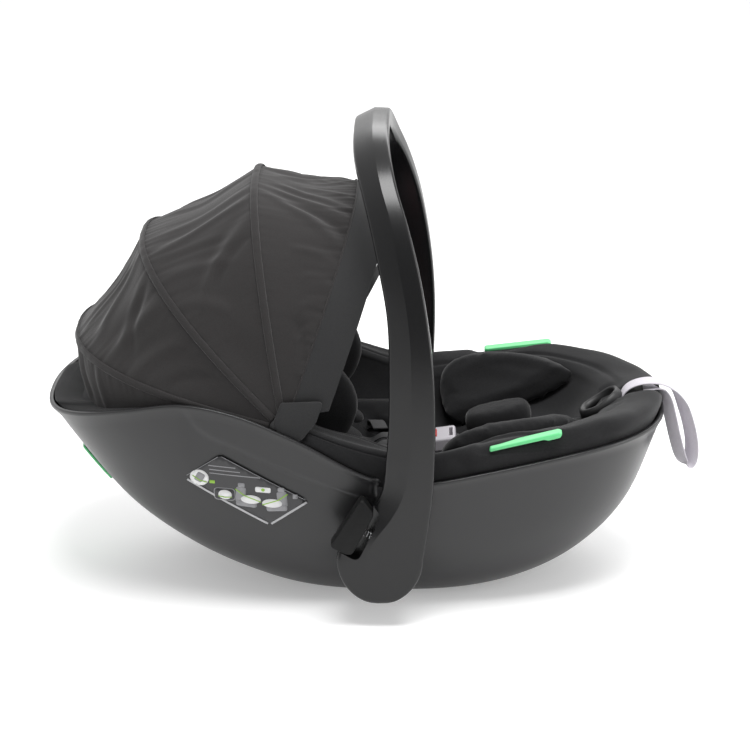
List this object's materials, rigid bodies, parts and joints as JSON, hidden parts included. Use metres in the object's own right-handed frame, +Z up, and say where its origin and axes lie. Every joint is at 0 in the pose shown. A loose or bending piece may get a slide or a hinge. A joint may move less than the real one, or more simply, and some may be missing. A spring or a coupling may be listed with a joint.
{
  "type": "infant car seat",
  "caption": "Boat-shaped infant carrier with a swinging carry handle, folding canopy, padded seat, sliding headrest, harness and belt guides.",
  "frame": {"origin": "centre of the flat rest face under the shell, in the plane of symmetry", "axes": "+X towards the child's feet, +Y towards the child's left, +Z up"},
  "size_m": [0.7385, 0.4442, 0.5171],
  "materials": {
    "shell_plastic": "satin",
    "handle_plastic": "satin",
    "black_plastic": "matte",
    "steel": "satin",
    "foam": "matte",
    "seat_fabric": "matte",
    "canopy_fabric": "matte",
    "webbing_black": "matte",
    "webbing_grey": "matte",
    "green_plastic": "satin",
    "label_film": "satin",
    "red_plastic": "satin",
    "grey_plastic": "satin"
  },
  "bodies": {
    "shell": {"adjuster_flap": "seat_fabric", "adjuster_housing": "black_plastic", "belt_guide_left": "green_plastic", "belt_guide_right": "green_plastic", "body_insert": "seat_fabric", "buckle_body": "grey_plastic", "buckle_tongue_left": "grey_plastic", "buckle_tongue_right": "grey_plastic", "canopy_back_panel": "canopy_fabric", "canopy_bracket_left": "black_plastic", "canopy_bracket_right": "black_plastic", "canopy_pin_left": "steel", "canopy_pin_right": "steel", "canopy_rear_panel": "canopy_fabric", "crotch_strap": "webbing_black", "foam_liner": "foam", "handle_pin_left": "steel", "handle_pin_right": "steel", "hip_strap_left": "webbing_black", "hip_strap_right": "webbing_black", "insert_wing_left": "seat_fabric", "insert_wing_right": "seat_fabric", "label": "label_film", "latch_bars": "steel", "latch_housings": "black_plastic", "outer_shell": "shell_plastic", "pull_loop": "webbing_grey", "rear_belt_guide": "green_plastic", "rear_bow": "black_plastic", "seat_cover": "seat_fabric", "shoulder_pad_left": "seat_fabric", "shoulder_pad_right": "seat_fabric", "shoulder_strap_left": "webbing_black", "shoulder_strap_right": "webbing_black", "strap_collar": "black_plastic", "thigh_pad_left": "seat_fabric", "thigh_pad_right": "seat_fabric"},
    "handle": {"handle": "handle_plastic", "button_spring_left": "steel", "button_spring_right": "steel"},
    "handle_button_left": {"handle_button_left": "handle_plastic"},
    "handle_button_right": {"handle_button_right": "handle_plastic"},
    "front_bow": {"front_bow": "black_plastic", "canopy_hem": "canopy_fabric"},
    "middle_bow": {"middle_bow": "black_plastic", "canopy_front_panel": "canopy_fabric"},
    "back_bow": {"back_bow": "black_plastic", "canopy_middle_panel": "canopy_fabric"},
    "headrest": {"headrest_pad": "seat_fabric", "headrest_plate": "black_plastic", "headrest_wing_left": "seat_fabric", "headrest_wing_right": "seat_fabric"},
    "headrest_lever": {"headrest_lever": "black_plastic"},
    "buckle_button": {"buckle_button": "red_plastic"},
    "adjuster_button": {"adjuster_button": "black_plastic"}
  },
  "joints": [
    {"name": "handle_swing", "type": "hinge", "parent": "shell", "child": "handle", "pos_m": [0.01, 0, 0.079], "axis": [0, -1, 0], "range_deg": [0, 95]},
    {"name": "left_handle_button_press", "type": "slide", "parent": "handle", "child": "handle_button_left", "axis": [0.866, 0, -0.5], "range_m": [0, 0.007], "stiffness_N_per_m": 600, "deforming": ["button_spring_left"]},
    {"name": "right_handle_button_press", "type": "slide", "parent": "handle", "child": "handle_button_right", "axis": [0.866, 0, -0.5], "range_m": [0, 0.007], "stiffness_N_per_m": 600, "deforming": ["button_spring_right"]},
    {"name": "back_bow_fold", "type": "hinge", "parent": "shell", "child": "back_bow", "pos_m": [-0.095, 0, 0.216], "axis": [0, -1, 0], "range_deg": [0, 26], "deforming": ["canopy_back_panel", "canopy_middle_panel"]},
    {"name": "middle_bow_fold", "type": "hinge", "parent": "back_bow", "child": "middle_bow", "pos_m": [-0.095, 0, 0.216], "axis": [0, -1, 0], "range_deg": [0, 28], "deforming": ["canopy_front_panel"]},
    {"name": "front_bow_fold", "type": "hinge", "parent": "middle_bow", "child": "front_bow", "pos_m": [-0.095, 0, 0.216], "axis": [0, -1, 0], "range_deg": [0, 34]},
    {"name": "headrest_slide", "type": "slide", "parent": "shell", "child": "headrest", "axis": [-0.9135, 0, 0.4067], "range_m": [0, 0.06], "deforming": ["shoulder_strap_left", "shoulder_strap_right"]},
    {"name": "headrest_lever_squeeze", "type": "slide", "parent": "headrest", "child": "headrest_lever", "axis": [-0.9135, 0, 0.4067], "range_m": [0, 0.003], "stiffness_N_per_m": 800},
    {"name": "buckle_button_press", "type": "slide", "parent": "shell", "child": "buckle_button", "axis": [0.1392, 0, -0.9903], "range_m": [0, 0.0035], "stiffness_N_per_m": 800},
    {"name": "adjuster_button_press", "type": "slide", "parent": "shell", "child": "adjuster_button", "axis": [0.2164, 0, -0.9763], "range_m": [0, 0.005], "stiffness_N_per_m": 600}
  ],
  "couplings": [
    {"joint": "middle_bow_fold", "follows": "back_bow_fold", "ratio": 1.0769},
    {"joint": "front_bow_fold", "follows": "back_bow_fold", "ratio": 1.3077}
  ]
}
